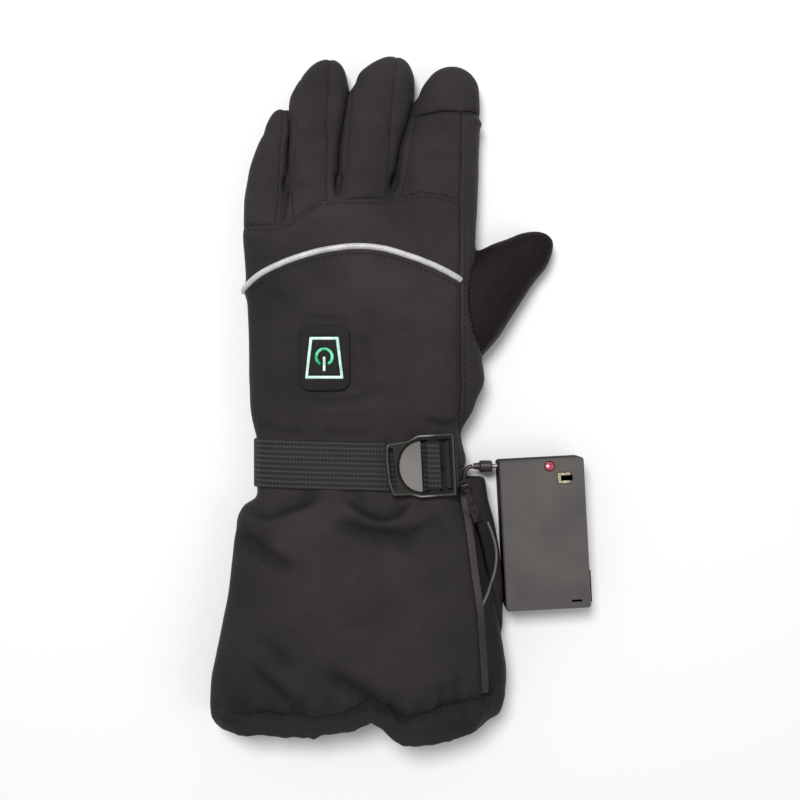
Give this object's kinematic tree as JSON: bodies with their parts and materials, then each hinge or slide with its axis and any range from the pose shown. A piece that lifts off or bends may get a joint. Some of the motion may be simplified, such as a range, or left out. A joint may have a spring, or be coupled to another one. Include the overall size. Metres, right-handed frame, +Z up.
{
  "type": "heated motorcycle gauntlet glove with plugged-in battery case",
  "caption": "Left-hand heated winter gauntlet glove lying palm down, with strap and buckle, lit push button, zipped cuff with pocket, and a flat battery case on a short lead.",
  "frame": {"origin": "on the surface that the glove lies on, under the middle of the palm's thumb half", "axes": "+X towards the thumb side, +Y towards the fingertips, +Z up out of the back of the hand"},
  "size_m": [0.1901, 0.3378, 0.0382],
  "materials": {
    "fabric": "charcoal woven softshell, matt",
    "leather": "black synthetic leather, fine grain",
    "reflective": "silver grey reflective piping",
    "webbing": "black ribbed polypropylene webbing and zip tape",
    "rubber": "moulded black silicone rubber, satin",
    "lit": "mint green translucent light guide",
    "acetal": "moulded grey black acetal, glossy face",
    "abs": "moulded dark grey ABS, satin",
    "nickel": "nickel plated metal",
    "pvc": "black PVC",
    "lens": "red indicator lens, lit"
  },
  "bodies": {
    "glove": {"pinky_back": "fabric", "ring_back": "fabric", "middle_back": "fabric", "index_back": "fabric", "index_tip_cap": "fabric", "knuckle_band": "fabric", "back_hand": "fabric", "index_side": "fabric", "cuff_back": "fabric", "cuff_side": "fabric", "hem_band": "fabric", "battery_pocket": "fabric", "fourchette_pinky_ring": "leather", "fourchette_ring_middle": "leather", "fourchette_middle_index": "leather", "palm": "leather", "cuff_palm": "leather", "thumb_back": "leather", "thumb_palm": "leather", "pocket_piping": "leather", "knuckle_piping": "reflective", "button_pad": "rubber", "lead_gland": "rubber", "button_outline": "lit", "power_ring": "lit", "power_bar": "lit", "strap": "webbing", "strap_anchor": "webbing", "zip_band": "webbing", "buckle": "acetal", "zip_slider": "nickel", "lead": "pvc", "plug": "pvc", "plug_barrel": "nickel", "case_front": "abs", "case_back": "abs", "case_catch": "abs", "case_led": "lens", "port_frame": "nickel"},
    "puller": {"zip_puller": "nickel"}
  },
  "joints": [
    {"name": "puller_swing", "type": "hinge", "parent": "glove", "child": "puller", "pos_m": [0.0314, -0.0419, 0.0242], "axis": [-0.9397, -0.342, 0], "range_deg": [0, 110]}
  ]
}
